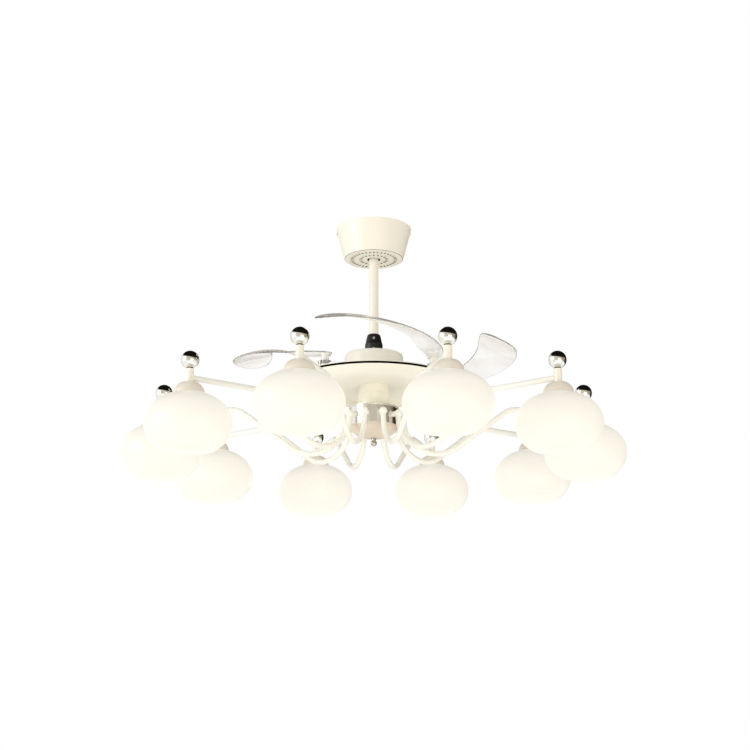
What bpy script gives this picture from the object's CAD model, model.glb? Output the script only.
from math import asin, cos, pi, radians, sin, sqrt

import bmesh
import bpy
import numpy as np
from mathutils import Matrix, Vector


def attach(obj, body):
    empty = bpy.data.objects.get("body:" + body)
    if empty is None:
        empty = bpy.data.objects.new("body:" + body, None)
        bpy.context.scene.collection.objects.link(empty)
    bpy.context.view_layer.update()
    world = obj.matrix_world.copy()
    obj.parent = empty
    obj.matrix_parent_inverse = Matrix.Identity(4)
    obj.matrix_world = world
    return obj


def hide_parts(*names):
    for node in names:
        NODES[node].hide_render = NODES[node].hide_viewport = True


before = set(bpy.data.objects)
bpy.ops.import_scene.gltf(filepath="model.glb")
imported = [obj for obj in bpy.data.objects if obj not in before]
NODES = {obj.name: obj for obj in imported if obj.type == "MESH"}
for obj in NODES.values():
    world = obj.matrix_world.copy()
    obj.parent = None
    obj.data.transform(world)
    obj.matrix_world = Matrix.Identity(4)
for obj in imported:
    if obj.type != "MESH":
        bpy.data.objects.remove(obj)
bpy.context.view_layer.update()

MM = 0.001

# ---- View ----
# The picture is taken from below, from about a metre and a quarter under the ceiling and well back,
# with a lens of moderate length that looks up.
LENS, SENSOR, SHIFT = 74.67, 36, 0.0016
EYE, LOOK_UP = (0, -3.3766, -1.2629), 15.18
camera_data = bpy.data.cameras.new("camera")
camera_data.lens = LENS
camera_data.sensor_width = SENSOR
camera_data.shift_x = SHIFT
camera = bpy.data.objects.new("camera", camera_data)
camera.location = EYE
camera.rotation_euler = (radians(90 + LOOK_UP), 0, 0)
bpy.context.scene.collection.objects.link(camera)
bpy.context.scene.camera = camera
bpy.context.scene.view_settings.view_transform = "Standard"

# ---- Studio ----
# A white room with soft lamps. What shines sees a white window at the left, beige walls that darken to
# the right with a dark corner behind, and a dark ceiling, which gives the metal its dark tops.
WALLS = ((0.0, "#FFFFFF"), (0.07, "#FFFFFF"), (0.25, "#D2CABB"), (0.66, "#CFC7B8"), (1.0, "#9A917E"))
CORNER_FROM, CORNER_TO, CORNER = 0.9, 1.3, "#33291A"
CEILING_FROM, CEILING_TO, CEILING_SLANT, CEILING = 0.42, 0.5, 0.14, "#14130F"
ROOM, ROOM_LIGHT, WHITE = "#FFFCF5", 0.7, "#FFFFFF"


def linear(code):
    """sRGB hex code to linear RGBA: each channel c is c/12.92 below 0.04045, else ((c+0.055)/1.055)^2.4."""
    c = np.array([int(code[i:i + 2], 16) for i in (1, 3, 5)]) / 255
    return tuple(np.where(c <= 0.04045, c / 12.92, ((c + 0.055) / 1.055) ** 2.4)) + (1.0,)


def add(tree, kind, links=(), **settings):
    """Adds a node of a kind. Settings are sockets by name, or the node's own properties; links are
    (input socket, output socket of another node)."""
    made = tree.nodes.new(kind)
    for name, value in settings.items():
        label = name.replace("_", " ")
        socket = next((s for s in made.inputs if s.name == label), None)
        if socket is not None:
            socket.default_value = value
        else:
            setattr(made, name, value)
    for to, source in links:
        tree.links.new(source, made.inputs[to])
    return made


def darkened(tree, factor, first, code):
    """Output of a colour that goes, with a factor, from the one of another output to a hex code's."""
    mix = add(tree, "ShaderNodeMix", [("Factor", factor), ("A", first)], data_type="RGBA")
    mix.inputs["B"].default_value = linear(code)
    return mix.outputs["Result"]


world = bpy.data.worlds.new("studio")
bpy.context.scene.world = world
world.use_nodes = True
sky = world.node_tree
sky.nodes.clear()
look = add(sky, "ShaderNodeTexCoord")
toward = add(sky, "ShaderNodeSeparateXYZ", [(0, look.outputs["Generated"])])
aside = add(sky, "ShaderNodeMapRange", [("Value", toward.outputs["X"])], From_Min=-1.0, From_Max=1.0)
walls = add(sky, "ShaderNodeValToRGB", [("Fac", aside.outputs["Result"])])
bands = walls.color_ramp.elements
for stop, code in WALLS:
    band = bands.new(stop) if 0 < stop < 1 else bands[0 if stop == 0 else -1]
    band.color = linear(code)
behind = add(sky, "ShaderNodeMath", [(0, toward.outputs["X"]), (1, toward.outputs["Y"])], operation="ADD")
corner = add(sky, "ShaderNodeMapRange", [("Value", behind.outputs[0])],
             From_Min=CORNER_FROM, From_Max=CORNER_TO)
above = add(sky, "ShaderNodeMath", [(0, toward.outputs["X"]), (2, toward.outputs["Z"])],
            operation="MULTIPLY_ADD")
above.inputs[1].default_value = CEILING_SLANT
height = add(sky, "ShaderNodeMapRange", [("Value", above.outputs[0])],
             From_Min=CEILING_FROM, From_Max=CEILING_TO)
shaded = darkened(sky, corner.outputs["Result"], walls.outputs["Color"], CORNER)
surroundings = darkened(sky, height.outputs["Result"], shaded, CEILING)
path = add(sky, "ShaderNodeLightPath")
room = add(sky, "ShaderNodeBackground", Color=linear(ROOM), Strength=ROOM_LIGHT)
white = add(sky, "ShaderNodeBackground", Color=linear(WHITE), Strength=1.0)
mirrored = add(sky, "ShaderNodeBackground", [("Color", surroundings)], Strength=1.0)
seen = add(sky, "ShaderNodeMath", [(0, path.outputs["Is Camera Ray"]),
                                   (1, path.outputs["Is Transmission Ray"])], operation="MAXIMUM")
shine = add(sky, "ShaderNodeMixShader",
            [(0, path.outputs["Is Glossy Ray"]), (1, room.outputs[0]), (2, mirrored.outputs[0])])
all_rays = add(sky, "ShaderNodeMixShader",
               [(0, seen.outputs[0]), (1, shine.outputs[0]), (2, white.outputs[0])])
add(sky, "ShaderNodeOutputWorld", [("Surface", all_rays.outputs[0])])

AIM = Vector((0, 0, -0.4))
LAMPS = (  # name, place, width, watts, colour
    ("left key", (-3.1, -1.3, -0.15), 1.6, 35, "#FFFFFF"),
    ("warm right fill", (1.3, -2.8, -1.4), 2.2, 22, "#FFF1DD"),
    ("low fill", (0, -0.9, -2.15), 2.4, 12, "#FFFEFC"),
)
for name, place, width, watts, colour in LAMPS:
    lamp_data = bpy.data.lights.new(name, "AREA")
    lamp_data.size = width
    lamp_data.energy = watts
    lamp_data.color = linear(colour)[:3]
    lamp = bpy.data.objects.new(name, lamp_data)
    lamp.location = place
    lamp.rotation_euler = (AIM - Vector(place)).to_track_quat("-Z", "Y").to_euler()
    bpy.context.scene.collection.objects.link(lamp)

# ---- Floor ----
# Matt white board, far enough below to stay out of the picture. What shines or is clear sees it plain
# white; all else sees the board with its shadows.
FLOOR_HALF, FLOOR_Z = 6, -2.3


def new_finish(name):
    """A new material, its node tree and its shader."""
    made = bpy.data.materials.new(name)
    made.use_nodes = True
    return made, made.node_tree, made.node_tree.nodes["Principled BSDF"]


floor_mesh = bpy.data.meshes.new("floor")
floor_mesh.from_pydata([(x * FLOOR_HALF, y * FLOOR_HALF, FLOOR_Z)
                        for x, y in ((-1, -1), (1, -1), (1, 1), (-1, 1))], [], [(0, 1, 2, 3)])
floor = bpy.data.objects.new("floor", floor_mesh)
bpy.context.scene.collection.objects.link(floor)
board, tree, board_shader = new_finish("matt white board")
board_shader.inputs["Base Color"].default_value = linear("#F4F3F0")
board_shader.inputs["Roughness"].default_value = 0.9
glow = add(tree, "ShaderNodeEmission", Color=linear(WHITE), Strength=1.0)
floor_path = add(tree, "ShaderNodeLightPath")
direct = add(tree, "ShaderNodeMath", [(0, floor_path.outputs["Is Glossy Ray"]),
                                      (1, floor_path.outputs["Is Transmission Ray"])], operation="MAXIMUM")
board_mix = add(tree, "ShaderNodeMixShader",
                [(0, direct.outputs[0]), (1, board_shader.outputs[0]), (2, glow.outputs[0])])
tree.links.new(board_mix.outputs[0], tree.nodes["Material Output"].inputs["Surface"])
floor_mesh.materials.append(board)

# ---- Canopy ----
# A cone of spun steel that hides the bracket, enamelled ivory. Two rings of vent slots are punched in
# its floor around the rod's hole, and its open edge is rolled.


def softened(corners, radius, steps=6):
    """Rounds a closed outline. Each corner P with neighbours L and N is replaced by the quadratic curve
    (1-s)^2 A + 2s(1-s) P + s^2 C, where A and C lie at the radius from P, at most 0.49 of a side away.
    The radius is one number, or one for each corner."""
    p = np.asarray(corners, float)
    r = np.broadcast_to(np.asarray(radius, float), len(p))[:, None]
    back, ahead = np.roll(p, 1, 0) - p, np.roll(p, -1, 0) - p
    lb, la = np.linalg.norm(back, axis=1)[:, None], np.linalg.norm(ahead, axis=1)[:, None]
    a = p + back / lb * np.minimum(r, 0.49 * lb)
    c = p + ahead / la * np.minimum(r, 0.49 * la)
    s = np.linspace(0, 1, steps)[None, :, None]
    curve = (1 - s) ** 2 * a[:, None] + 2 * s * (1 - s) * p[:, None] + s ** 2 * c[:, None]
    return curve.reshape(-1, p.shape[1])


def revolved(outline, segments):
    """Points of an outline (radius, height) in millimetres turned about Z: x = r cos a, y = r sin a, as a
    grid of (outline point, angle)."""
    a = np.arange(segments) * 2 * pi / segments
    r, z = (side[:, None] for side in np.asarray(outline, float).T)
    return np.stack([r * np.cos(a), r * np.sin(a), np.repeat(z, segments, 1)], -1)


def shell(name, grids, wrap=(True, True), caps=False, sharp=35):
    """A mesh from grids of points in millimetres, shaped (u, v, 3) or (copies, u, v, 3). Each cell of four
    neighbours is a face. wrap closes the grid in u and in v, caps closes its two u ends, and an edge of
    more than sharp degrees isn't smoothed."""
    points, faces, start = [], [], 0
    for g in grids if isinstance(grids, list) else [grids]:
        g = g[None] if g.ndim == 3 else g
        copies, rows, cols = g.shape[:3]
        index = np.arange(copies * rows * cols).reshape(copies, rows, cols) + start
        u = np.arange(rows if wrap[0] else rows - 1)
        v = np.arange(cols if wrap[1] else cols - 1)
        un, vn = (u + 1) % rows, (v + 1) % cols
        quad = np.stack([index[:, u][:, :, v], index[:, u][:, :, vn], index[:, un][:, :, vn],
                         index[:, un][:, :, v]], -1)
        faces += quad.reshape(-1, 4).tolist()
        faces += np.concatenate([index[:, 0, ::-1], index[:, -1]]).tolist() if caps else []
        points.append(g.reshape(-1, 3))
        start += copies * rows * cols
    mesh = bpy.data.meshes.new(name)
    mesh.from_pydata(np.concatenate(points) * MM, [], faces)
    work = bmesh.new()
    work.from_mesh(mesh)
    bmesh.ops.remove_doubles(work, verts=work.verts, dist=2e-6)
    bmesh.ops.dissolve_degenerate(work, edges=work.edges, dist=1e-6)
    bmesh.ops.recalc_face_normals(work, faces=work.faces)
    work.to_mesh(mesh)
    work.free()
    mesh.shade_smooth()
    mesh.set_sharp_from_angle(angle=radians(sharp))
    return mesh


def skin(name, grids, material, body, node, slot, punches=(), sharp=35, **how):
    """One piece from grids as shell() takes them, with closed meshes punched out of it. It rides on a body,
    stands for a CAD node and takes its finish from a slot."""
    mesh = shell(name, grids, sharp=sharp, **how)
    mesh.materials.append(material)
    piece = bpy.data.objects.new(name, mesh)
    bpy.context.scene.collection.objects.link(piece)
    for cutters in punches:
        tool = piece.modifiers.new("punch", "BOOLEAN")
        tool.operation, tool.solver = "DIFFERENCE", "EXACT"
        tool.object = bpy.data.objects.new("punch", shell("punch", cutters, wrap=(False, True), caps=True))
        bpy.context.scene.collection.objects.link(tool.object)
        bpy.context.view_layer.update()
        cut = bpy.data.meshes.new_from_object(piece.evaluated_get(bpy.context.evaluated_depsgraph_get()))
        bpy.data.objects.remove(tool.object)
        piece.modifiers.clear()
        piece.data = cut
        cut.shade_smooth()
        cut.set_sharp_from_angle(angle=radians(sharp))
    piece.data.name = name
    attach(piece, body)
    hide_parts(node)
    return piece


def clouded(tree, place, code, lift, scale):
    """A faint cloud, and a colour that goes with it from the code's own to one lift times as bright, or
    white. Returns the outputs of both."""
    cloud = add(tree, "ShaderNodeTexNoise", [("Vector", place)], Scale=scale, Detail=2.0).outputs["Fac"]
    tone = add(tree, "ShaderNodeMix", [("Factor", cloud)], data_type="RGBA")
    tone.inputs["A"].default_value = linear(code)
    tone.inputs["B"].default_value = tuple(min(1.0, c * lift) for c in linear(code))
    return cloud, tone.outputs["Result"]


def enamel(name, code, rough, grain_mm, depth):
    """Sprayed and baked enamel on steel: even colour with a faint cloud, a soft gloss, and the fine
    waviness of a sprayed coat, drawn at the grain and the depth given in millimetres."""
    made, tree, shader = new_finish(name)
    place = add(tree, "ShaderNodeTexCoord").outputs["Object"]
    cloud, tone = clouded(tree, place, code, 1.03, 14.0)
    wave = add(tree, "ShaderNodeTexNoise", [("Vector", place)], Scale=1000 / grain_mm, Detail=1.0)
    bump = add(tree, "ShaderNodeBump", [("Height", wave.outputs["Fac"])],
               Strength=0.25, Distance=depth * MM)
    worn = add(tree, "ShaderNodeMapRange", [("Value", cloud)], To_Min=rough - 0.04, To_Max=rough + 0.05)
    tree.links.new(tone, shader.inputs["Base Color"])
    tree.links.new(worn.outputs["Result"], shader.inputs["Roughness"])
    tree.links.new(bump.outputs["Normal"], shader.inputs["Normal"])
    shader.inputs["IOR"].default_value = 1.5
    return made


ivory = enamel("ivory baked enamel", "#FBF8EC", 0.30, 2.5, 0.02)

CANOPY_TOP, CANOPY_FLOOR, CANOPY_H, CANOPY_WALL, ROD_HOLE = 86, 67, 73, 1.5, 15
floor_top = -CANOPY_H + CANOPY_WALL
canopy_outline = softened(
    [(ROD_HOLE, -CANOPY_H), (CANOPY_FLOOR, -CANOPY_H), (CANOPY_TOP, 0), (CANOPY_TOP - CANOPY_WALL, 0),
     (CANOPY_FLOOR - CANOPY_WALL, floor_top), (ROD_HOLE, floor_top)],
    [0.5, 4.5, 0.7, 0.7, 3.5, 0.5], 8)
VENT_RINGS = ((30, 20), (50, 36))  # radius and number of slots
VENT_W, VENT_LEN, VENT_SIDES, PUNCH = 3.6, 8.5, 16, 2
turn = (np.arange(VENT_SIDES) + 0.5) * 2 * pi / VENT_SIDES
slot_x = VENT_W / 2 * np.cos(turn) + np.sign(np.cos(turn)) * (VENT_LEN - VENT_W) / 2
slot_y = VENT_W / 2 * np.sin(turn)
vents = []
for ring_r, slots in VENT_RINGS:
    at = np.arange(1, slots + 1)[:, None] * 2 * pi / slots
    x, y = ring_r + slot_x, slot_y
    flat = np.stack([x * np.cos(at) - y * np.sin(at), x * np.sin(at) + y * np.cos(at)], -1)
    vents.append(np.stack([np.concatenate([flat, np.full(flat.shape[:2] + (1,), z)], -1)
                           for z in (-CANOPY_H - PUNCH, floor_top + PUNCH)], 1))
canopy = skin("spun_canopy", revolved(canopy_outline, 160), ivory, "ceiling", "canopy", "ivory_paint",
              punches=[np.concatenate(vents)])

# Its inside isn't enamelled: it keeps the dark grey of the primer, and so do the edges of the slots. These
# are the faces that look up or inwards and lie within the wall's middle, and the upright ones in its floor,
# which between the two radii of SLOTTED are the slots' alone.
SLOTTED, UPRIGHT, OUTWARDS = (ROD_HOLE + 2, CANOPY_FLOOR - 6), 0.5, 0.9
primer = enamel("dark grey primer", "#242321", 0.7, 1.5, 0.03)
canopy.data.materials.append(primer)
faces = len(canopy.data.polygons)
middle, facing = np.empty(3 * faces), np.empty(3 * faces)
canopy.data.polygons.foreach_get("center", middle)
canopy.data.polygons.foreach_get("normal", facing)
middle, facing = middle.reshape(-1, 3) / MM, facing.reshape(-1, 3)
reach = np.linalg.norm(middle[:, :2], axis=1)
lean = (CANOPY_TOP - CANOPY_FLOOR) / CANOPY_H
mid_wall = CANOPY_FLOOR - CANOPY_WALL / 2 + lean * (middle[:, 2] + CANOPY_H)
inwards = (reach < mid_wall) & ((middle[:, :2] * facing[:, :2]).sum(1) / reach + facing[:, 2] < OUTWARDS)
slotted = (np.abs(facing[:, 2]) < UPRIGHT) & (reach > SLOTTED[0]) & (reach < SLOTTED[1])
within = inwards & (slotted | (middle[:, 2] > -CANOPY_H + CANOPY_WALL / 2))
canopy.data.polygons.foreach_set("material_index", within.astype(np.int32))

# ---- Hanger bracket, ball and screws ----
# Zinc plated steel strip with a black nylon ball in its seat; the remote control's receiver lies above
# the ball in a white case. All but the two side screws is inside the canopy.


def metal(name, code, rough, streak=(40, 40, 40), depth=0.0, spread=0.06):
    """Bare or plated metal: one colour, metallic 1, with roughness that varies along streaks whose numbers
    per metre along X, Y and Z are given, and a bump of the same streaks where depth, in mm, isn't 0."""
    made, tree, shader = new_finish(name)
    shader.inputs["Base Color"].default_value = linear(code)
    shader.inputs["Metallic"].default_value = 1.0
    place = add(tree, "ShaderNodeTexCoord").outputs["Object"]
    size = add(tree, "ShaderNodeMapping", [("Vector", place)], Scale=streak)
    grain = add(tree, "ShaderNodeTexNoise", [("Vector", size.outputs["Vector"])], Scale=1.0, Detail=3.0)
    worn = add(tree, "ShaderNodeMapRange", [("Value", grain.outputs["Fac"])],
               To_Min=max(0.0, rough - spread), To_Max=rough + spread)
    tree.links.new(worn.outputs["Result"], shader.inputs["Roughness"])
    if depth:
        bump = add(tree, "ShaderNodeBump", [("Height", grain.outputs["Fac"])],
                   Strength=0.3, Distance=depth * MM)
        tree.links.new(bump.outputs["Normal"], shader.inputs["Normal"])
    return made


def moulded(name, code, rough, grain_mm=0.8, depth=0.02):
    """Moulded plastic or rubber: an even colour, a faint cloud, and the fine eroded grain of the mould."""
    made, tree, shader = new_finish(name)
    place = add(tree, "ShaderNodeTexCoord").outputs["Object"]
    _, tone = clouded(tree, place, code, 1.12, 30.0)
    grain = add(tree, "ShaderNodeTexNoise", [("Vector", place)], Scale=1000 / grain_mm, Detail=2.0)
    bump = add(tree, "ShaderNodeBump", [("Height", grain.outputs["Fac"])],
               Strength=0.3, Distance=depth * MM)
    tree.links.new(tone, shader.inputs["Base Color"])
    tree.links.new(bump.outputs["Normal"], shader.inputs["Normal"])
    shader.inputs["Roughness"].default_value = rough
    return made


def finish_node(material, *names):
    """Gives CAD nodes whose shape stays a material."""
    for name in names:
        NODES[name].data.materials.clear()
        NODES[name].data.materials.append(material)


zinc = metal("bright zinc plate", "#B9BCC0", 0.32, (120, 120, 120), 0.01, 0.10)
black_nylon = moulded("black moulded nylon", "#1C1C1D", 0.5)
white_case = moulded("white moulded ABS", "#F1EFE9", 0.38)
finish_node(zinc, "hanger_bracket")
finish_node(black_nylon, "hanger_ball")
finish_node(white_case, "receiver_box")
finish_node(ivory, "canopy_screws")

# ---- Downrod and coupling yoke ----
# Steel tube in the same ivory enamel, pinned at its top in the ball and at its foot in a turned black
# yoke that holds the motor's shaft. SLIP is the clearance of pieces that slide into each other.
SHAFT_R, SLIP = 8.5, 0.05
ROD_R, ROD_WALL, ROD_LOW, ROD_TOP = 10.5, 2.0, -273, -29
rod_outline = softened(
    [(ROD_R - ROD_WALL, ROD_LOW), (ROD_R, ROD_LOW), (ROD_R, ROD_TOP), (ROD_R - ROD_WALL, ROD_TOP)], 0.6)
skin("downrod_tube", revolved(rod_outline, 96), ivory, "fixture", "downrod", "ivory_paint")

YOKE_R, YOKE_TOP, YOKE_LOW, YOKE_SIDE, YOKE_CHAMFER = 20, -253, -299, 23, 2
rod_seat, shaft_seat, wire_hole = YOKE_TOP - 20, YOKE_LOW + 17, 6
black_enamel = enamel("black satin enamel", "#191817", 0.42, 1.5, 0.03)
yoke_outline = softened(
    [(SHAFT_R + SLIP, YOKE_LOW), (YOKE_R - YOKE_CHAMFER, YOKE_LOW), (YOKE_R, YOKE_LOW + YOKE_CHAMFER),
     (YOKE_R, YOKE_LOW + YOKE_SIDE), (YOKE_R - 1.5, YOKE_LOW + YOKE_SIDE + 4), (ROD_R + 5, YOKE_TOP - 4),
     (ROD_R + 3.6, YOKE_TOP - 1), (ROD_R + 2.4, YOKE_TOP), (ROD_R + SLIP, YOKE_TOP),
     (ROD_R + SLIP, rod_seat), (wire_hole, rod_seat), (wire_hole, shaft_seat),
     (SHAFT_R + SLIP, shaft_seat)],
    [0.3, 0.8, 0.8, 1.2, 1.2, 1.5, 0.6, 0.4, 0.3, 0.2, 0.2, 0.2, 0.2])
skin("turned_yoke", revolved(yoke_outline, 96), black_enamel, "fixture", "coupling_yoke", "black_paint")
finish_node(zinc, "cross_pins")

# ---- Motor ----
# Outer-rotor motor: the pressed drum turns with magnets glued inside it, around a fixed stack of
# laminated steel wound with enamelled copper. Only the drum shows; it is enamelled ivory.
DRUM_R, DRUM_TOP, DRUM_WALL, DRUM_EDGE, DRUM_LID, TRAY_TOP = 66, -301, 2.5, 7, 3, -364
BEARING_R, BEARING_LID, BEARING_LOW, BOSS_R, SHAFT_GAP = 17.5, 5, -316, 22, 0.3
inner_r = DRUM_R - DRUM_WALL
drum_outline = softened(
    [(DRUM_R, TRAY_TOP), (DRUM_R, DRUM_TOP), (SHAFT_R + SHAFT_GAP, DRUM_TOP),
     (SHAFT_R + SHAFT_GAP, DRUM_TOP - BEARING_LID), (BEARING_R + SLIP, DRUM_TOP - BEARING_LID),
     (BEARING_R + SLIP, BEARING_LOW), (BOSS_R, BEARING_LOW), (BOSS_R, DRUM_TOP - DRUM_LID),
     (inner_r - DRUM_EDGE, DRUM_TOP - DRUM_LID), (inner_r, DRUM_TOP - DRUM_LID - DRUM_EDGE),
     (inner_r, TRAY_TOP)],
    [0.3, DRUM_EDGE, 0.6, 0.3, 0.3, 0.3, 0.5, 0.8, 2, 2, 0.3], 9)
skin("pressed_drum", revolved(drum_outline, 192), ivory, "rotor", "motor_shell", "ivory_paint")
laminations = metal("laminated core steel", "#6B6C6E", 0.5, (30, 30, 2000), 0.05)
magnet_black = moulded("bonded ferrite", "#2B2B2D", 0.6)
copper = enamel("enamelled copper wire", "#B0562A", 0.3, 1.0, 0.2)
bearing_steel = metal("ground bearing steel", "#C6C8CB", 0.14, (60, 60, 600), 0.0, 0.05)
finish_node(laminations, "stator_core")
finish_node(magnet_black, "magnet_ring")
finish_node(copper, "coil_windings")
finish_node(bearing_steel, "motor_bearings")
finish_node(zinc, "motor_shaft")

# ---- Blade tray and edge trim ----
# Flat spun disc under the drum on which the blades lie when they are in, with a raised ring for the gear
# to run on, and a boss and a spring peg at each pivot. A black rubber lip closes the gap to the dish below.
TRAY_R, TRAY_LOW, TRAY_BORE = 188, -367, 12
THRUST_TOP, THRUST_IN, THRUST_OUT = -362, DRUM_R + 3, DRUM_R + 14
TRAY_HUB_LOW, TRAY_HUB_TOP, BEARING_SEAT = -369.1, TRAY_TOP + 7, TRAY_TOP - 3.7
PIVOT_R, FIRST_PIVOT, PIVOT_BOSS_R, BOLT_R = 168, -39, 9, 5
PEG_R, PEG_H, PEG_AT, SUNK = 1.8, 14, 17.6, 1
tray_outline = softened(
    [(TRAY_BORE, TRAY_HUB_LOW), (BOSS_R, TRAY_HUB_LOW), (BOSS_R, TRAY_LOW), (TRAY_R, TRAY_LOW),
     (TRAY_R, TRAY_TOP), (THRUST_OUT, TRAY_TOP), (THRUST_OUT, THRUST_TOP), (THRUST_IN, THRUST_TOP),
     (THRUST_IN, TRAY_TOP), (BOSS_R, TRAY_TOP), (BOSS_R, TRAY_HUB_TOP), (BEARING_R + SLIP, TRAY_HUB_TOP),
     (BEARING_R + SLIP, BEARING_SEAT), (TRAY_BORE, BEARING_SEAT)],
    [0.2, 0.5, 0.5, 1.3, 1.3, 0.5, 0.5, 0.5, 0.5, 0.5, 0.5, 0.2, 0.2, 0.2], 7)
pivot_angles = np.radians(FIRST_PIVOT - 90 * np.arange(4))


def around(points, angle):
    """A grid turned about Z by an angle in radians."""
    x, y, z = (np.asarray(points)[..., i] for i in range(3))
    return np.stack([x * np.cos(angle) - y * np.sin(angle), x * np.sin(angle) + y * np.cos(angle), z], -1)


def at_pivots(points, turned=0.0):
    """Copies of a grid at the four pivots. Each is turned by its pivot's angle plus a fixed angle, in
    degrees, and moved out to the pivots' circle."""
    return np.stack([around(points, a + radians(turned)) + PIVOT_R * np.array([cos(a), sin(a), 0])
                     for a in pivot_angles])


boss = revolved(softened([(BOLT_R + SLIP, TRAY_TOP - SUNK), (PIVOT_BOSS_R, TRAY_TOP - SUNK),
                          (PIVOT_BOSS_R, THRUST_TOP), (BOLT_R + SLIP, THRUST_TOP)], 0.4), 48)
peg = revolved(softened([(0.01, TRAY_TOP - SUNK), (PEG_R, TRAY_TOP - SUNK), (PEG_R, TRAY_TOP + PEG_H),
                         (0.01, TRAY_TOP + PEG_H)], 0.3), 24) + np.array([PEG_AT, 0, 0])
skin("spun_tray", [revolved(tray_outline, 256), at_pivots(boss), at_pivots(peg)], ivory, "rotor",
     "blade_tray", "ivory_paint")

TRIM_LOW, TRIM_H, TRIM_DEPTH, TRIM_OUT, LIP_UP = -370.6, 3.6, 3.5, 0.3, 0.8
trim_top = TRIM_LOW + TRIM_H
rubber = moulded("black extruded rubber", "#040404", 0.7, 1.0, 0.03)
rubber.node_tree.nodes["Principled BSDF"].inputs["Specular IOR Level"].default_value = 0.06
trim_outline = softened(
    [(TRAY_R - TRIM_DEPTH, TRIM_LOW), (TRAY_R - 0.2, TRIM_LOW), (TRAY_R + TRIM_OUT, TRIM_LOW + 0.5),
     (TRAY_R + TRIM_OUT, trim_top + LIP_UP), (TRAY_R - 0.6, trim_top + LIP_UP),
     (TRAY_R - TRIM_DEPTH, trim_top)], 0.3)
skin("rubber_trim", revolved(trim_outline, 256), rubber, "rotor", "edge_trim", "black_rubber")

# ---- Blade gear ----
# Moulded nylon ring gear on the drum that keeps the four blades in step, with a toothed carrier under
# each blade's root, and a zinc plated bolt and a steel return spring at each pivot.
white_nylon = moulded("natural moulded nylon", "#FAF9F4", 0.42)
spring_steel = metal("drawn spring steel", "#B4B6B9", 0.3, (200, 200, 900), 0.01)
finish_node(white_nylon, "sync_ring", *["blade_carrier_%d" % k for k in range(1, 5)])
finish_node(spring_steel, "return_springs")
finish_node(zinc, "pivot_bolts")

# ---- Blades ----
# Four crescents of clear acrylic, hot formed so that they climb and twist from root to tip, with flame
# polished edges. Each is drilled for its pivot and for two rivets.
BLADE_CHORD, BLADE_SAGITTA, BLADE_W, BLADE_ROOT_W, BLADE_T = 288, 91, 90, 30, 2.5
BLADE_RISE, BLADE_TILT, BLADE_CAMBER, RISE_CURVE, TIP_GAIN = 46, 16, 5, 1.35, 1.5
BLADE_FLAT, RISE_BLEND, TILT_BLEND, CAMBER_BLEND = 48, 0.2, 70, 90
BLADE_Z, BLADE_TURN = -334.9, 43 - 90
BLADE_R = ((BLADE_CHORD / 2) ** 2 + BLADE_SAGITTA ** 2) / (2 * BLADE_SAGITTA)
BLADE_LEN = 2 * BLADE_R * asin(BLADE_CHORD / 2 / BLADE_R)
WIDEST = 0.74 * BLADE_LEN
BLADE_HOLES = ((0, 9.5, 48), (24, 2.2, 20), (40, 2.2, 20))  # arc length from the pivot, radius, sides
DRILL = 3


def ease(x):
    """Smooth step: 3x^2 - 2x^3 between 0 and 1, flat outside."""
    x = np.clip(x, 0, 1)
    return x * x * (3 - 2 * x)


def blade_surface():
    """A blade in its pivot's frame, as a closed section (v across, h up) carried along an arc.
    Along the arc length u the width grows as a quarter sine to its widest place and ends in an ellipse;
    the height is rise(1-(1-x)^1.35), the section tilts outer edge down and is crowned by camber(1-4v^2)."""
    head = np.radians(np.linspace(2, 80, 12))
    body = np.linspace(0, 1, 64)
    tip = np.radians(np.linspace(1.5, 89.2, 48))
    u = np.concatenate([-BLADE_ROOT_W / 2 * np.cos(head), WIDEST * body,
                        WIDEST + (BLADE_LEN - WIDEST) * np.sin(tip)])
    width = np.concatenate([BLADE_ROOT_W * np.sin(head),
                            BLADE_ROOT_W + (BLADE_W - BLADE_ROOT_W) * np.sin(pi / 2 * body),
                            BLADE_W * np.cos(tip)])
    round_r = np.minimum(BLADE_T / 2, 0.45 * width)
    s = np.linspace(-1, 1, 25)
    edge = np.radians(np.linspace(90, -90, 9))[1:-1]
    flat = width[:, None] / 2 - round_r[:, None]
    across = np.concatenate([flat * s, flat + round_r[:, None] * np.cos(edge), -flat * s,
                             -flat - round_r[:, None] * np.cos(edge)], 1)
    up = np.concatenate([np.full(len(s), BLADE_T), BLADE_T / 2 * (1 + np.sin(edge)), np.zeros(len(s)),
                         BLADE_T / 2 * (1 - np.sin(edge))])[None, :]
    x = np.clip((u - BLADE_FLAT) / (BLADE_LEN - BLADE_FLAT), 0, 1)
    rise = BLADE_RISE * (1 - (1 - x) ** RISE_CURVE) * ease(x / RISE_BLEND)
    tilt = np.radians(BLADE_TILT * ease((u - BLADE_FLAT) / TILT_BLEND)
                      * (1 + (TIP_GAIN - 1) * ease((u - WIDEST) / (BLADE_LEN - WIDEST))))[:, None]
    crown = (BLADE_CAMBER * ease((u - BLADE_FLAT) / CAMBER_BLEND) * width / BLADE_W)[:, None]
    up = up + crown * (1 - (2 * across / width[:, None]) ** 2)
    r = BLADE_R + across * np.cos(tilt) + up * np.sin(tilt)
    a = (u / BLADE_R)[:, None]
    z = BLADE_Z + rise[:, None] - across * np.sin(tilt) + up * np.cos(tilt)
    return np.stack([r * np.sin(a), r * np.cos(a) - BLADE_R, z], -1)


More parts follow.
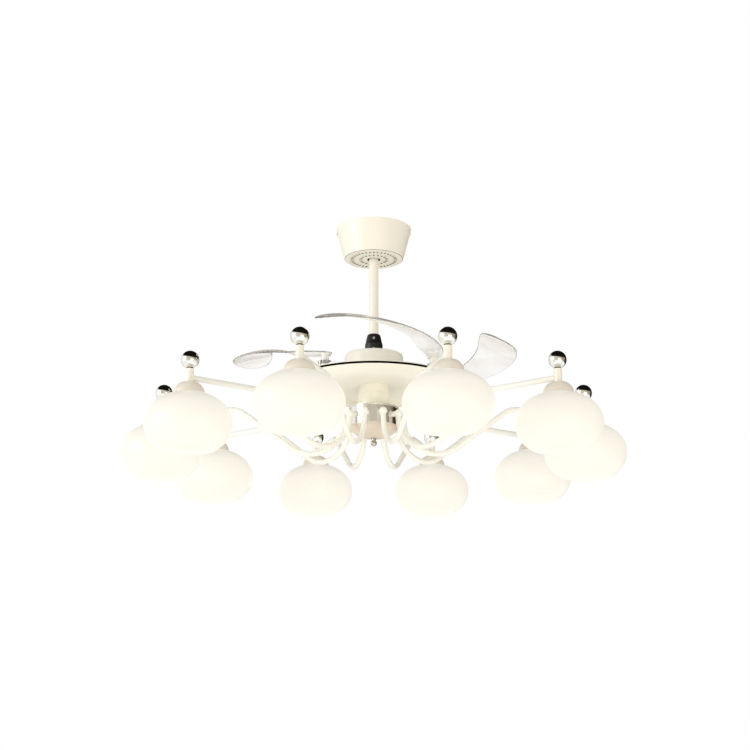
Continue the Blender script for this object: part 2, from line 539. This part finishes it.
def clear_plastic(name, code):
    """Cast acrylic: clear, IOR 1.49, with a polished surface. It looks milkier where it is seen edge-on,
    and in faint clouds."""
    made, tree, shader = new_finish(name)
    shader.inputs["Base Color"].default_value = linear(code)
    shader.inputs["IOR"].default_value = 1.49
    place = add(tree, "ShaderNodeTexCoord").outputs["Object"]
    ripple = add(tree, "ShaderNodeTexNoise", [("Vector", place)], Scale=11.0, Detail=1.0).outputs["Fac"]
    worn = add(tree, "ShaderNodeMapRange", [("Value", ripple)], To_Min=0.015, To_Max=0.06)
    bump = add(tree, "ShaderNodeBump", [("Height", ripple)], Strength=0.25, Distance=0.6 * MM)
    grazing = add(tree, "ShaderNodeLayerWeight", Blend=0.4)
    clear = add(tree, "ShaderNodeMapRange", [("Value", grazing.outputs["Facing"])],
                From_Min=0.45, From_Max=1.0, To_Min=0.97, To_Max=0.6)
    cloudy = add(tree, "ShaderNodeMapRange", [("Value", ripple)],
                 From_Min=0.4, From_Max=0.65, To_Min=1.0, To_Max=0.82)
    through = add(tree, "ShaderNodeMath", [(0, clear.outputs["Result"]), (1, cloudy.outputs["Result"])],
                  operation="MULTIPLY")
    tree.links.new(through.outputs[0], shader.inputs["Transmission Weight"])
    tree.links.new(worn.outputs["Result"], shader.inputs["Roughness"])
    tree.links.new(bump.outputs["Normal"], shader.inputs["Normal"])
    return made


acrylic = clear_plastic("clear cast acrylic", "#FDFBF8")
drills = []
for u, hole_r, sides in BLADE_HOLES:
    drill = revolved([(hole_r, BLADE_Z - DRILL), (hole_r, BLADE_Z + BLADE_T + DRILL)], sides)
    on_arc = np.array([BLADE_R * sin(u / BLADE_R), BLADE_R * (cos(u / BLADE_R) - 1), 0])
    drills.append(at_pivots(drill + on_arc, BLADE_TURN))
for k, blade in enumerate(at_pivots(blade_surface(), BLADE_TURN)):
    skin("clear_blade_%d" % (k + 1), blade, acrylic, "blade_assembly_%d" % (k + 1), "blade_%d" % (k + 1),
         "clear_acrylic", punches=[drill[k] for drill in drills], wrap=(False, True), caps=True)

# ---- Lower dish, column and collar ----
# Fixed dish spun from one sheet, which closes the tray's underside: a cone down to a lip, a fold up and
# a flat plate. Like the column under it, it is enamelled ivory; the collar round the column's foot is
# glossy moulded plastic.
DISH_TOP, DISH_PLATE, DISH_LOW, DISH_LIP, DISH_WALL, DISH_BULGE = -371, -372, -386.5, 137.5, 1.8, 4
t = np.linspace(0, 1, 25)
bulge = DISH_BULGE * np.sin(pi * t)
fold = 1.15 * DISH_WALL
inside, plate_low = DISH_LIP - DISH_WALL, DISH_PLATE - DISH_WALL
dish_out = np.stack([DISH_LIP + (TRAY_R - DISH_LIP) * t + 0.35 * bulge,
                     DISH_LOW + (DISH_TOP - DISH_LOW) * t - bulge], 1)
dish_outline = np.concatenate([
    dish_out, [(TRAY_R - DISH_WALL, DISH_TOP)], dish_out[-2:0:-1] + [0, fold],
    [(DISH_LIP, DISH_LOW + fold), (DISH_LIP, DISH_PLATE), (SHAFT_R + SLIP, DISH_PLATE),
     (SHAFT_R + SLIP, plate_low), (inside - 1.5, plate_low), (inside, plate_low - 1.5),
     (inside, DISH_LOW + 0.6), (inside + 0.6, DISH_LOW)]])
skin("spun_dish", revolved(dish_outline, 256), ivory, "fixture", "lower_dish", "ivory_paint", sharp=30)

COLUMN_R, COLUMN_TOP, COLUMN_WALL, COLUMN_LID, HUB_TOP = 33, -373.8, 2, 3, -424.5
lid_low = COLUMN_TOP - COLUMN_LID
column_outline = softened(
    [(COLUMN_R, HUB_TOP), (COLUMN_R, COLUMN_TOP), (SHAFT_R + SLIP, COLUMN_TOP), (SHAFT_R + SLIP, lid_low),
     (COLUMN_R - COLUMN_WALL, lid_low), (COLUMN_R - COLUMN_WALL, HUB_TOP)], 0.3)
skin("column_tube", revolved(column_outline, 128), ivory, "fixture", "column", "ivory_paint")

COLLAR_TOP, COLLAR_WALL = -393, 2.5
collar_in, collar_out = COLUMN_R + SLIP, COLUMN_R + SLIP + COLLAR_WALL
collar_outline = softened(
    [(collar_in, HUB_TOP), (collar_out, HUB_TOP), (collar_out, COLLAR_TOP), (collar_in, COLLAR_TOP)],
    [0.2, 0.4, 1.2, 0.2])
gloss_abs = moulded("glossy moulded ABS", "#F9F4E6", 0.18, 2.5, 0.01)
skin("collar_sleeve", revolved(collar_outline, 128), gloss_abs, "fixture", "collar", "ivory_paint")

# ---- Hub cylinder, dome and ball nut ----
# Drawn and polished stainless drum that the ten arms are screwed into, closed below by a beige dome that
# a nickel plated ball nut holds.
HUB_R, HUB_LOW, HUB_WALL, HUB_PLATE, HUB_LIP, HUB_LIP_H = 54, -466.5, 1.5, 2, 2.5, 2.5
HUB_BOSS_R, HUB_BOSS_H = SHAFT_R + 4.5, 13
stainless = metal("polished stainless steel", "#ECE9E4", 0.12, (6, 6, 900), 0.004, 0.04)
hub_outline = softened(
    [(SHAFT_R + SLIP, HUB_TOP), (HUB_R + HUB_LIP, HUB_TOP), (HUB_R + HUB_LIP, HUB_TOP - HUB_LIP_H),
     (HUB_R, HUB_TOP - HUB_LIP_H), (HUB_R, HUB_LOW), (HUB_R - HUB_WALL, HUB_LOW),
     (HUB_R - HUB_WALL, HUB_TOP - HUB_PLATE), (HUB_BOSS_R, HUB_TOP - HUB_PLATE),
     (HUB_BOSS_R, HUB_TOP - HUB_BOSS_H), (SHAFT_R + SLIP, HUB_TOP - HUB_BOSS_H)],
    [0.3, 1.2, 0.4, 0.4, 0.4, 0.4, 0.8, 0.3, 0.4, 0.3])
skin("polished_hub", revolved(hub_outline, 192), stainless, "fixture", "hub_cylinder", "stainless")

STUD_R, DOME_H, DOME_WALL, DOME_FLANGE = 3, 26.5, 1.5, 2.5
DOME_R = HUB_R - HUB_WALL - SLIP
q = np.radians(np.linspace(0, 90, 25))


def dome_arc(r, depth):
    """Quarter ellipse from the rim down to the stud's hole, of radius s: radius s + (r-s) cos q, height
    -depth sin q."""
    hole = STUD_R + SLIP
    return np.stack([hole + (r - hole) * np.cos(q), HUB_LOW - depth * np.sin(q)], 1)


dome_outline = np.concatenate([
    [(DOME_R, HUB_LOW + DOME_FLANGE)], dome_arc(DOME_R, DOME_H),
    dome_arc(DOME_R - DOME_WALL, DOME_H - DOME_WALL)[::-1], [(DOME_R - DOME_WALL, HUB_LOW + DOME_FLANGE)]])
dome_enamel = enamel("beige baked enamel", "#E2D6C5", 0.34, 2.5, 0.02)
skin("spun_dome", revolved(dome_outline, 160), dome_enamel, "fixture", "bottom_dome", "ivory_paint")

NUT_TOP, NUT_DROP, NUT_R, NUT_NECK, NUT_FLANGE, STUD_TOP = HUB_LOW - DOME_H, 11, 7, 4.5, 6, HUB_LOW + 10
ball = np.radians(np.linspace(-90, 52, 30))
nut_outline = np.concatenate([
    np.stack([NUT_R * np.cos(ball), NUT_TOP - NUT_DROP + NUT_R * np.sin(ball)], 1),
    [(NUT_NECK, NUT_TOP - 5), (NUT_NECK, NUT_TOP - 1.4), (NUT_FLANGE, NUT_TOP - 1.2), (NUT_FLANGE, NUT_TOP),
     (STUD_R, NUT_TOP), (STUD_R, STUD_TOP), (0, STUD_TOP)]])
nickel = metal("nickel plate", "#B9B4AA", 0.10, (30, 30, 30), 0.0, 0.04)
skin("ball_nut", revolved(nut_outline, 64), nickel, "fixture", "bottom_finial", "chrome",
     wrap=(False, True))

# ---- Arms ----
# Ten swan necks of bent steel tube. Each hangs from a ball elbow screwed into the hub, turns under in a
# wide low bend, climbs straight outwards and levels into its lamp's post.
ARM_R, ELBOW_R, ELBOW_RING, ELBOW_Z, ARM_DROP = 6, 8.8, 67, -445, 9.5
LOW_BEND, HIGH_BEND, SLOPE, ARM_END_Z, LAMP_RING = 74, 45, radians(36.5), -427.5, 470
ARM_START, ARM_SHORT, STUB_IN = 2.3, 5.6, 4
FIRST_LAMP, LAMP_STEP, LAMP_COUNT = -72, 36, 10
lamp_angles = np.radians(FIRST_LAMP + LAMP_STEP * np.arange(LAMP_COUNT))


def arm_path():
    """The arm's centre line as (outward, up) points: an upright, an arc of 90 degrees plus the slope, a
    straight climb, an arc back to level, and a level end."""
    low = ELBOW_Z - ARM_DROP
    mid_x = ELBOW_RING + LOW_BEND
    a = np.linspace(pi, 1.5 * pi + SLOPE, 40)
    bend = np.stack([mid_x + LOW_BEND * np.cos(a), low + LOW_BEND * np.sin(a)], 1)
    climb = (ARM_END_Z - HIGH_BEND * (1 - cos(SLOPE)) - bend[-1, 1]) / sin(SLOPE)
    foot = bend[-1] + climb * np.array([cos(SLOPE), sin(SLOPE)])
    b = np.linspace(pi / 2 + SLOPE, pi / 2, 24)
    over_x = foot[0] + HIGH_BEND * sin(SLOPE)
    crown = np.stack([over_x + HIGH_BEND * np.cos(b), ARM_END_Z - HIGH_BEND + HIGH_BEND * np.sin(b)], 1)
    return np.concatenate([[(ELBOW_RING, ELBOW_Z - ARM_START)], bend, crown,
                           [(LAMP_RING - ARM_SHORT, ARM_END_Z)]])


def tube(line, segments=32):
    """Round tube of the arms' radius r about a plane line: at each point the circle r (cos a N + sin a Y),
    where N is the line's normal in its own plane."""
    line = np.asarray(line, float)
    along = np.gradient(line, axis=0)
    along /= np.linalg.norm(along, axis=1)[:, None]
    a = np.arange(segments) * 2 * pi / segments
    x = line[:, :1] - ARM_R * np.cos(a) * along[:, 1:]
    z = line[:, 1:] + ARM_R * np.cos(a) * along[:, :1]
    return np.stack([x, np.broadcast_to(ARM_R * np.sin(a), x.shape), z], -1)


arm_enamel = enamel("white ivory enamel", "#FFFDF6", 0.30, 2.5, 0.02)
arm_skin = tube(arm_path())
for i, angle in enumerate(lamp_angles):
    skin("swan_neck_%02d" % (i + 1), around(arm_skin, angle), arm_enamel, "fixture", "arm_%02d" % (i + 1),
         "ivory_paint", wrap=(False, True), caps=True)

e = np.radians(np.linspace(-90, 90, 25))
elbow_outline = np.stack([ELBOW_R * np.cos(e), ELBOW_R * np.sin(e)], 1)
elbow_ball = revolved(elbow_outline, 40) + np.array([ELBOW_RING, 0, ELBOW_Z])
stub = tube([(HUB_R - HUB_WALL - STUB_IN, ELBOW_Z), (HUB_R, ELBOW_Z), (ELBOW_RING - 2, ELBOW_Z)])
skin("ball_elbows", [np.stack([around(g, a) for a in lamp_angles]) for g in (elbow_ball, stub)], arm_enamel,
     "fixture", "arm_elbows", "ivory_paint", wrap=(False, True), caps=True)

# ---- Lamp posts, neck rings and balls ----
# Each arm ends in a short upright post, turned and enamelled ivory. A black rubber ring and a chromed
# hollow ball are screwed onto the lamp's stem above it.
LAMP_Z, STEM_R = -525, 5
POST_LOW, POST_TOP, POST_R = 88, 117, 8.5
RING_H, RING_R, BALL_R, BALL_THREAD = 1.5, 7.3, 19, 10.3


def at_lamps(points):
    """Copies of a grid at the ten lamps, its origin on the middle of each shade."""
    return np.stack([around(np.asarray(points) + np.array([LAMP_RING, 0, LAMP_Z]), a) for a in lamp_angles])


stem_hole = STEM_R + SLIP
post_outline = softened(
    [(stem_hole, POST_LOW), (POST_R, POST_LOW), (POST_R, POST_TOP), (stem_hole, POST_TOP)],
    [0.3, 0.6, 1.2, 0.3])
skin("turned_posts", at_lamps(revolved(post_outline, 64)), ivory, "fixture", "lamp_posts", "ivory_paint")
ring_top = POST_TOP + RING_H
ring_outline = softened(
    [(stem_hole, POST_TOP), (RING_R, POST_TOP), (RING_R, ring_top), (stem_hole, ring_top)], 0.3)
skin("rubber_neck_rings", at_lamps(revolved(ring_outline, 48)), rubber, "fixture", "neck_rings",
     "black_rubber")
chrome = metal("bright chrome plate", "#F2F2EE", 0.04, (18, 18, 18), 0.0, 0.03)
ball_mid = ring_top + sqrt(BALL_R ** 2 - RING_R ** 2)
b = np.linspace(-asin((ball_mid - ring_top) / BALL_R), pi / 2, 40)
ball_outline = np.concatenate([
    [(0, ring_top + BALL_THREAD), (stem_hole, ring_top + BALL_THREAD), (stem_hole, ring_top)],
    np.stack([BALL_R * np.cos(b), ball_mid + BALL_R * np.sin(b)], 1)])
skin("chrome_balls", at_lamps(revolved(ball_outline, 72)), chrome, "fixture", "ball_finials", "chrome",
     wrap=(False, True))

# ---- Socket covers and lampholders ----
# A spun quarter-ellipse cup hides the lampholder's upper part. The holder itself is white moulded
# plastic, with a shade ring below the glass.
COVER_R, COVER_TOP, COVER_WALL, COVER_GAP = 32, POST_LOW, 1.5, 0.15
GLASS_A, GLASS_B, SQUARENESS = 91, 66.5, 2.1
c = np.radians(np.linspace(0, 90, 25))


def glass_height(r):
    """Height of the shade's superellipse (r/a)^n + (z/b)^n = 1 at radius r."""
    return GLASS_B * (1 - (r / GLASS_A) ** SQUARENESS) ** (1 / SQUARENESS)


cover_low = glass_height(COVER_R - COVER_WALL) + COVER_GAP
cover_out = np.stack([POST_R + (COVER_R - POST_R) * np.sin(c),
                      cover_low + (COVER_TOP - cover_low) * np.cos(c)], 1)
cover_in = np.stack([cover_out[:, 0] - COVER_WALL, np.maximum(cover_out[:, 1] - COVER_WALL, cover_low)], 1)
cover_outline = np.concatenate([
    cover_out, cover_in[::-1], [(stem_hole, COVER_TOP - COVER_WALL), (stem_hole, COVER_TOP)]])
cover_ivory = enamel("greyed ivory enamel", "#EEE7DA", 0.34, 2.0, 0.02)
skin("spun_covers", at_lamps(revolved(cover_outline, 96)), cover_ivory, "fixture", "socket_covers",
     "ivory_paint")
finish_node(white_case, "lampholders")

# ---- Shades and bulbs ----
# Mouth-blown opal glass, squat and open below, with a fire-polished rim. It glows from the frosted bulb
# inside, a little dimmer towards its neck.
SHADE_A, SHADE_B, GLASS, MOUTH, NECK, RIM_ROUND = GLASS_A - 0.1, GLASS_B - 0.1, 3, -54, 20, 1.3
GLOW_FULL, GLOW_DIM, DIM = 20, 70, 0.8  # heights over the shade's middle, and the share left at the upper


def opal(name, code, glow_code, strength):
    """Opal glass lit from inside: milky white and satin, with an even glow that falls off between two
    heights towards the neck."""
    made, tree, shader = new_finish(name)
    shader.inputs["Base Color"].default_value = linear(code)
    shader.inputs["Roughness"].default_value = 0.42
    shader.inputs["IOR"].default_value = 1.5
    shader.inputs["Emission Color"].default_value = linear(glow_code)
    place = add(tree, "ShaderNodeTexCoord").outputs["Object"]
    up = add(tree, "ShaderNodeSeparateXYZ", [(0, place)]).outputs["Z"]
    level = add(tree, "ShaderNodeMapRange", [("Value", up)], interpolation_type="SMOOTHERSTEP",
                From_Min=(LAMP_Z + GLOW_DIM) * MM, From_Max=(LAMP_Z + GLOW_FULL) * MM,
                To_Min=DIM * strength, To_Max=strength)
    tree.links.new(level.outputs["Result"], shader.inputs["Emission Strength"])
    return made


def shade_arc(a, b):
    """One wall of the shade from mouth to neck: r = a cos^(2/n), z = b sin^(2/n) of an angle that runs from
    where z is just above the mouth's height, to leave room for the round rim, to where r is the neck's."""
    low = -asin(((-MOUTH - RIM_ROUND) / b) ** (SQUARENESS / 2))
    high = pi / 2 - asin((NECK / a) ** (SQUARENESS / 2))
    t = np.linspace(low, high, 60)
    power = 2 / SQUARENESS
    return np.stack([a * np.cos(t) ** power, b * np.sign(np.sin(t)) * np.abs(np.sin(t)) ** power], 1)


opal_glass = opal("opal glass", "#98958E", "#FFFBF0", 0.68)
outer, inner = shade_arc(SHADE_A, SHADE_B), shade_arc(SHADE_A - GLASS, SHADE_B - GLASS)
rim = np.radians(np.linspace(0, 180, 9))[1:-1]
rim_mid, rim_half = (outer[0] + inner[0]) / 2, (outer[0] - inner[0]) / 2
round_rim = rim_mid - np.outer(np.cos(rim), rim_half) - np.outer(np.sin(rim), [0, RIM_ROUND])
for i, shade in enumerate(at_lamps(revolved(np.concatenate([outer, inner[::-1], round_rim]), 128))):
    skin("opal_shade_%02d" % (i + 1), shade, opal_glass, "fixture", "shade_%02d" % (i + 1), "opal_glass")

BULB_R, BULB_MID, BULB_END, BULB_NECK_H = 27, 5, 0.82, 10
BASE_R, BASE_FLARE, BASE_LOW, BASE_TOP, CONTACT_R, CONTACT_TOP = 13.2, 2.5, 39, 63, 4, 65.8
g = np.linspace(-pi / 2, np.arccos(BULB_END), 40)
neck_z = BULB_MID + BULB_R * sqrt(1 - BULB_END ** 2)
bulb_outline = np.concatenate([
    np.stack([BULB_R * np.cos(g), BULB_MID + BULB_R * np.sin(g)], 1),
    [(BASE_R + BASE_FLARE, neck_z + BULB_NECK_H), (BASE_R, BASE_LOW), (BASE_R, BASE_TOP),
     (CONTACT_R, BASE_TOP), (CONTACT_R, CONTACT_TOP), (0, CONTACT_TOP)]])
frosted = opal("frosted bulb glass", "#FFFDF6", "#FFF6E0", 1.0)
skin("frosted_bulbs", at_lamps(revolved(bulb_outline, 64)), frosted, "fixture", "bulbs", "bulb_glass",
     wrap=(False, True))
